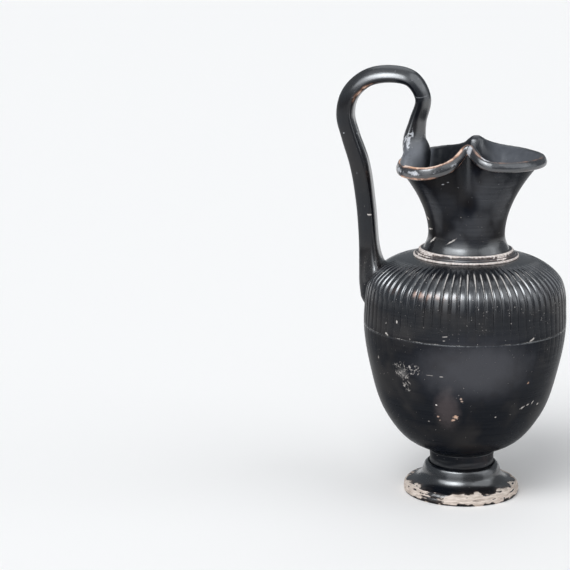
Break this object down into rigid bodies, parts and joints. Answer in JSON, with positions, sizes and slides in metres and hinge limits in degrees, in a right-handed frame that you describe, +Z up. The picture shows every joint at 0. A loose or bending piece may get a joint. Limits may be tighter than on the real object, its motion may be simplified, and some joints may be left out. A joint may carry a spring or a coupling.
{
  "type": "oinochoe jug",
  "caption": "Black-gloss ceramic wine jug with a ribbed shoulder, trefoil pouring mouth, high-swung strap handle and a turned disc foot.",
  "frame": {"origin": "centre of the foot's resting ring, on the surface that the jug stands on", "axes": "+Z up along the jug's axis, +X towards the pouring lobe, so the handle stands on -X"},
  "size_m": [0.1157, 0.1004, 0.2145],
  "materials": {
    "black_gloss": "worn semi-gloss black slip over buff clay",
    "luting_clay": "fired clay slip, matt"
  },
  "bodies": {
    "root": {"body": "black_gloss", "stem": "black_gloss", "foot": "black_gloss", "neck": "black_gloss", "neck_ring": "black_gloss", "handle": "black_gloss", "stem_luting": "luting_clay", "foot_luting": "luting_clay", "neck_luting": "luting_clay", "handle_lip_luting": "luting_clay", "handle_shoulder_luting": "luting_clay"}
  },
  "joints": []
}
